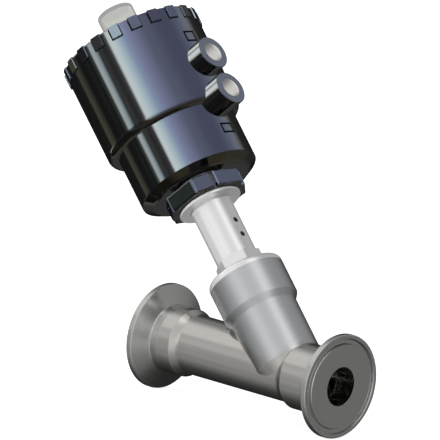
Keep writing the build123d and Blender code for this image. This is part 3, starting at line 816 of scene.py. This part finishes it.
@dataclass
class Drive:
    """The piston drive's visible details and the parts that change shape in it."""

    port_levels: tuple[float, float] = (0.13345, 0.15335)
    lugs: int = 21
    # Painted shade round the lugs: the middle of each lug in degrees, and how far its dark lines reach before and
    # after it. They reach further before it, so the painted shadow is wider on that side.
    lug_middle: float = 30.6
    lug_before: float = 5.35
    lug_after: float = 4.75
    spring_levels: tuple[float, float] = (0.1410, 0.1791)
    spring_share: float = 0.79

    def build(self, dresser: Dresser) -> None:
        """Makes the threads, the blank frames, the painted shade lines round the lugs and the springs."""
        for side, level in zip(("lower", "upper"), self.port_levels):
            insert = PortThread(f"{side}_port_thread", level).build()
            dresser.piece(insert, "insert", Body.DRIVE, (f"{side}_port_insert",))
        frames = (
            BlankFrame("upper_blank_frame", 0.034, 0.1645, 0.1703, radians(84.0), radians(95.8)),
            BlankFrame("lower_blank_frame", 0.0295, 0.1162, 0.1217, radians(82.8), radians(97.8)),
            # Painted shade: a thin black ridge round each lug stands in for the shadow in the gap at the lug's
            # edges. Its top line lies under the lug.
            BlankFrame(
                "painted_lug_shade", 0.034, 0.1777, 0.1836,
                radians(self.lug_middle - self.lug_before), radians(self.lug_middle + self.lug_after),
                0.00065, 0.00005,
                tuple(tau * number / self.lugs for number in range(self.lugs)),
            ),
        )
        for blank in frames:
            dresser.piece(blank.build(), "print_and_painted_shade_black", Body.DRIVE)
        springs = (
            Spring("outer_spring", "outer_closing_spring", 0.0220, 0.0017, *self.spring_levels, 4.0),
            Spring("inner_spring", "inner_closing_spring", 0.0146, 0.0012, *self.spring_levels, 5.5),
        )
        anchor = tuple(BRANCH.points(np.array(0.0), np.array(0.0), np.array(self.spring_levels[1])).tolist())
        for spring in springs:
            coil = dresser.piece(spring.build(), "spring", Body.DRIVE, (spring.node,))
            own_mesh(coil)


@dataclass(frozen=True)
class RoundLight:
    """Light by the angle in degrees round an axis, for the surfaces along that axis."""

    axis: Axis
    stops: Stops


@dataclass(frozen=True)
class Dome:
    """A far light dome that only some pieces mirror, with the light that comes from below."""

    name: str
    radius: float
    strength: float
    lights: tuple[RoundLight, ...]
    under: Triple
    deep: tuple[float, float] = (-0.35, -0.95)
    clear: tuple[float, float] = (-0.45, -0.25)


CASING_LIGHT = RoundLight(BRANCH, (
    (-180, 0.0), (-84, 0.0), (-77, (0.013, 0.014, 0.009)), (-68, (0.010, 0.011, 0.006)), (-61, 0.0), (-50, 0.0),
    (-45, 0.004), (-41, 0.0), (-34, (0.006, 0.011, 0.008)), (-31, (0.012, 0.016, 0.014)),
    (-28, (0.270, 0.305, 0.315)), (-23, (0.235, 0.280, 0.295)), (-20, (0.155, 0.185, 0.195)),
    (-16, (0.012, 0.018, 0.022)), (-12, 0.023), (-4, 0.006), (3, 0.020), (5, (0.050, 0.055, 0.060)),
    (8, (0.450, 0.500, 0.510)), (12, (0.470, 0.540, 0.550)), (20, (0.360, 0.455, 0.490)),
    (32, (0.205, 0.270, 0.380)), (42, (0.165, 0.180, 0.290)), (66, (0.073, 0.084, 0.132)),
    (90, (0.047, 0.051, 0.086)), (114, (0.040, 0.044, 0.074)), (126, (0.045, 0.052, 0.083)),
    (141, (0.048, 0.055, 0.072)), (148, (0.040, 0.046, 0.054)), (156, 0.018), (164, 0.0),
))
BOSS_LIGHT = RoundLight(BOSS, (
    (-180, 0.0), (-138, 0.006), (-127, (0.017, 0.017, 0.015)), (-121, 0.0), (-84, (0.004, 0.003, 0.001)),
    (-70, (0.005, 0.004, 0.001)), (-62, 0.0), (-6, 0.0), (0, (0.008, 0.010, 0.008)), (8, 0.001),
    (24, (0.008, 0.010, 0.007)), (29, 0.020), (34, 0.205), (40, (0.410, 0.420, 0.415)),
    (48, (0.330, 0.340, 0.340)), (58, (0.320, 0.335, 0.335)), (65, (0.200, 0.215, 0.205)),
    (72, (0.062, 0.068, 0.070)), (80, (0.110, 0.120, 0.120)), (88, (0.138, 0.145, 0.145)),
    (97, (0.100, 0.110, 0.110)), (105, (0.050, 0.055, 0.053)), (113, 0.008), (120, 0.0),
))
CASING_DOME = Dome("casing_dome", 30.0, 90.0, (CASING_LIGHT, BOSS_LIGHT), (0.018, 0.0155, 0.009))
BONNET_DOME = Dome("bonnet_dome", 32.0, 1.0, (RoundLight(BRANCH, (
    (-180, 0.27), (-133, 0.32), (-119, 0.27), (-107, 0.28), (-95, 0.45), (-85, 0.60), (-74, 0.48), (-59, 0.34),
    (-47, 0.34), (-35, 0.48), (-23, 0.44), (-11, 0.14), (1, 0.06), (25, 0.08), (49, 0.06), (61, 0.02), (73, 0.0),
    (113, 0.0), (133, 0.07), (158, 0.16), (179, 0.27),
)),), (0.0, 0.0, 0.0))
CAP_DOME = Dome("cap_dome", 34.0, 1.0, (RoundLight(BRANCH, ((-180, 0.34), (180, 0.34))),), (0.34, 0.34, 0.33))


@dataclass
class Studio:
    """Camera, light and floor."""

    branch_light: Stops = (
        (-180, 0.10), (-165, 0.03), (-150, 0.01), (-127, 0.01), (-103, 0.06), (-79, 0.17), (-55, 0.29),
        (-31, 0.42), (-10, 0.78), (5, 0.98), (30, 0.72), (55, 0.70), (74, 1.20), (84, 1.0), (101, 0.46),
        (115, 0.40), (137, 0.38), (161, 0.30), (180, 0.10),
    )
    pipe_light: Stops = (
        (-180, 0.032), (-150, 0.022), (-136, 0.022), (-112, 0.038), (-88, 0.075), (-76, 0.145), (-64, 0.217),
        (-52, 0.325), (-40, 0.32), (-28, 0.41), (-6, 0.44), (3, 0.47), (6, 0.60), (20, 0.62), (28, 0.56),
        (36, 0.58), (42, 0.80), (80, 0.82), (88, 0.74), (104, 0.42), (112, 0.29), (128, 0.27), (140, 0.14),
        (152, 0.055), (180, 0.032),
    )

    right: Triple = (0.73789, 0.65904, 0.14552)
    up: Triple = (-0.2153, 0.02551, 0.97622)
    back: Triple = (0.63966, -0.75167, 0.16071)
    target: Triple = (0.00859, 0.01947, 0.05685)
    width: float = 0.20794
    distance: float = 1.5
    floor_level: float = -0.02526
    floor_reach: float = 4.0
    clear_grey: float = 0.60

    def camera(self) -> None:
        """Makes the camera: parallel view from the photograph's side."""
        data = bpy.data.cameras.new("camera")
        data.type = "ORTHO"
        data.ortho_scale = self.width
        data.clip_start = 0.01
        data.clip_end = 50.0
        obj = bpy.data.objects.new("camera", data)
        turn = Matrix((self.right, self.up, self.back)).transposed().to_4x4()
        obj.matrix_world = Matrix.Translation(Vector(self.target) + self.distance * Vector(self.back)) @ turn
        bpy.context.scene.collection.objects.link(obj)
        bpy.context.scene.camera = obj
        bpy.context.scene.view_settings.view_transform = "Standard"

    def world(self) -> None:
        """Makes the studio: soft light that changes round the branch's axis and round the pipe's.

        The background is white, and what shows through clear plastic is grey.
        """
        world = bpy.data.worlds.new("studio")
        world.use_nodes = True
        bpy.context.scene.world = world
        sheet = NodeSheet(world.node_tree)
        way = sheet.add("TexCoord").outputs["Generated"]
        lights = (RoundLight(BRANCH, self.branch_light), RoundLight(PIPE, self.pipe_light))
        both = self.around(sheet, way, lights)
        path = sheet.add("LightPath")
        soft = sheet.add("Background", {"Color": both, "Strength": 1.0})
        white = sheet.add("Background", {"Color": WHITE, "Strength": 1.0})
        grey = sheet.add("Background", {"Color": shade(self.clear_grey, (1.0, 1.0, 0.98)), "Strength": 1.0})
        seen = sheet.add("MixShader", {
            0: path.outputs["Is Camera Ray"], 1: soft.outputs[0], 2: white.outputs[0]})
        mix = sheet.add("MixShader", {
            0: path.outputs["Is Transmission Ray"], 1: seen.outputs[0], 2: grey.outputs[0]})
        out = sheet.add("OutputWorld")
        sheet.tree.links.new(mix.outputs[0], out.inputs[0])

    def around(self, sheet: NodeSheet, way: bpy.types.NodeSocket, lights: tuple[RoundLight, ...]
               ) -> bpy.types.NodeSocket:
        """Light by direction round one axis or two.

        A surface along an axis mirrors a cone of directions to the camera. Where
        there are two axes, their lights are blended by the squares of the
        distances from their cones.

        Args:
            sheet: Node sheet to work on.
            way: Direction of the light, as a vector socket.
            lights: Light of one axis or two.

        Returns:
            The colour's socket.
        """
        glows, gaps = [], []
        for light in lights:
            first = sheet.vector("DOT_PRODUCT", way, light.axis.first).outputs[1]
            second = sheet.vector("DOT_PRODUCT", way, light.axis.second).outputs[1]
            angle = sheet.maths("ARCTAN2", second, first)
            share = sheet.maths("ADD", sheet.maths("DIVIDE", angle, tau), 0.5)
            glows.append(self.ramp(sheet, share, light.stops))
            along = sheet.vector("DOT_PRODUCT", way, light.axis.along).outputs[1]
            gap = sheet.maths("ADD", along, Vector(self.back).dot(Vector(light.axis.along)))
            gaps.append(sheet.maths("MULTIPLY", gap, gap))
        if len(glows) == 1:
            return glows[0]
        total = sheet.maths("ADD", sheet.maths("ADD", gaps[0], gaps[1]), 0.0001)
        part = sheet.maths("DIVIDE", gaps[0], total)
        return sheet.add("Mix", {0: part, 6: glows[0], 7: glows[1]}, data_type="RGBA").outputs[2]

    @staticmethod
    def ramp(sheet: NodeSheet, share: bpy.types.NodeSocket, stops: Stops) -> bpy.types.NodeSocket:
        """Light by angle.

        Args:
            sheet: Node sheet to work on.
            share: Share of the whole turn from -180 degrees on, from 0 to 1.
            stops: Angles in degrees with a brightness or a colour each.

        Returns:
            The colour's socket.
        """
        node = sheet.add("ValToRGB", {0: share})
        elements = node.color_ramp.elements
        while len(elements) < len(stops):
            elements.new(0.5)
        for element, (degrees, light) in zip(elements, stops):
            element.position = (degrees + 180.0) / 360.0
            element.color = shade(light, WHITE[:3]) if isinstance(light, float) else shade(1.0, light)
        return node.outputs[0]

    def dome(self, dome: Dome, receivers: list[bpy.types.Object]) -> None:
        """Makes a far light dome that only some pieces mirror.

        The dome is a sphere so wide that a place on it stands for a direction.
        Directions deep below the branch, apart from those to its side, get the
        light that comes from below.

        Args:
            dome: What the dome is like.
            receivers: The only objects that it lights.
        """
        slope = np.linspace(0.01, pi - 0.01, 33)[:, None]
        turn = np.linspace(0, tau, 64, endpoint=False)[None, :]
        places = PIPE.points(dome.radius * np.sin(slope), turn, dome.radius * np.cos(slope))
        shell = grid_mesh(dome.name, places, (False, True))
        material = bpy.data.materials.new(dome.name)
        material.use_nodes = True
        sheet = NodeSheet(material.node_tree)
        way = sheet.vector("NORMALIZE", sheet.add("TexCoord").outputs["Object"]).outputs[0]
        light = self.around(sheet, way, dome.lights)
        along = sheet.vector("DOT_PRODUCT", way, BRANCH.along).outputs[1]
        across = sheet.vector("DOT_PRODUCT", way, BOSS.along).outputs[1]
        deep = sheet.add("MapRange", {
            "Value": along, "From Min": dome.deep[0], "From Max": dome.deep[1]}).outputs[0]
        clear = sheet.add("MapRange", {
            "Value": across, "From Min": dome.clear[0], "From Max": dome.clear[1]}).outputs[0]
        below = sheet.maths("MULTIPLY", deep, clear)
        colour = sheet.add("Mix", {0: below, 6: light, 7: shade(1.0, dome.under)}, data_type="RGBA").outputs[2]
        glow = sheet.add("Emission", {"Color": colour, "Strength": dome.strength})
        through = sheet.add("BsdfTransparent", {"Color": WHITE})
        both = sheet.add("AddShader", {0: glow.outputs[0], 1: through.outputs[0]})
        self.mirrored(shell, material, both)
        group = bpy.data.collections.new(dome.name)
        for obj in receivers:
            group.objects.link(obj)
        shell.light_linking.receiver_collection = group

    @staticmethod
    def mirrored(shell: bpy.types.Object, material: bpy.types.Material, shader: bpy.types.Node) -> None:
        """Dresses a far dome that shows only in mirroring surfaces, as a backdrop."""
        out = material.node_tree.nodes.new("ShaderNodeOutputMaterial")
        material.node_tree.links.new(shader.outputs[0], out.inputs[0])
        material.cycles.emission_sampling = "NONE"
        shell.data.materials.append(material)
        shell.visible_camera = False
        shell.visible_diffuse = False
        shell.visible_transmission = False
        shell.visible_shadow = False
        shell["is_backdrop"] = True

    def floor(self) -> None:
        """Makes the plain pale floor under the clamp rims."""
        side = np.linspace(-self.floor_reach, self.floor_reach, 9)
        east, north = np.meshgrid(side, side, indexing="ij")
        places = np.stack([east, north, np.full_like(east, self.floor_level)], axis=-1)
        ground = grid_mesh("floor", places, (False, False))
        material = bpy.data.materials.new("floor")
        material.use_nodes = True
        sheet = NodeSheet(material.node_tree)
        shader = sheet.add("BsdfPrincipled", {
            "Base Color": (0.9, 0.9, 0.9, 1.0), "Roughness": 0.9,
            "Emission Color": WHITE, "Emission Strength": 0.8,
        })
        out = sheet.add("OutputMaterial")
        sheet.tree.links.new(shader.outputs[0], out.inputs[0])
        material.cycles.emission_sampling = "NONE"
        ground.data.materials.append(material)
        ground.visible_glossy = False
        ground.visible_transmission = False
        ground.visible_diffuse = False
        ground.visible_shadow = False
        ground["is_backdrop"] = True


def main() -> None:
    """Builds the valve's looks and the studio, in order."""
    logging.basicConfig(level=logging.INFO, format="%(message)s")
    effects = Effects()
    dresser = Dresser(Finishes.build(effects), Finishes.slots())
    dresser.solids({
        "cast_body": ["valve_body"],
        "ferrule": ["port_1_ferrule", "port_2_ferrule"],
        "bonnet": ["bonnet"],
        "turned": [
            "packing_lower_ring", "packing_upper_ring", "rod_seal_washer", "swivel_washer", "swivel_nut",
            "plug", "seal_retainer", "plug_pin", "plug_nut", "piston_washer", "piston_nut",
        ],
        "ground": ["spindle"],
        "spring": [
            "packing_circlip", "packing_spring", "rod_seal_circlip",
            "outer_closing_spring", "inner_closing_spring",
        ],
        "insert": ["lower_port_insert", "upper_port_insert"],
        "bronze": ["lower_guide_bush", "upper_guide_bush"],
        "white_seal": [
            "bonnet_gasket", "thrust_washer", "plug_seal", "piston_guide_band",
            "chevron_ring_1", "chevron_ring_2", "chevron_ring_3", "chevron_ring_4",
        ],
        "rubber": [
            "rod_seal", "swivel_o_ring", "cover_o_ring", "cap_o_ring", "piston_seal", "piston_o_ring",
        ],
        "casing": ["actuator_housing", "housing_cover"],
        "piston": ["piston"],
        "signal": ["position_indicator"],
        "clear": ["indicator_cap"],
    })
    Fittings().build(dresser)
    Drive().build(dresser)
    studio = Studio()
    studio.camera()
    studio.world()
    studio.dome(CASING_DOME, [frame["nodes"]["actuator_housing"]])
    studio.dome(BONNET_DOME, [frame["nodes"]["bonnet"]])
    studio.dome(CAP_DOME, [frame["nodes"]["indicator_cap"]])
    for casing in ("actuator_housing", "housing_cover"):
        frame["nodes"][casing].visible_transmission = False
    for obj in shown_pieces():
        if Body.VALVE.value not in body_of(obj):
            obj.visible_glossy = False
    studio.floor()


if __name__ == "__main__":
    main()
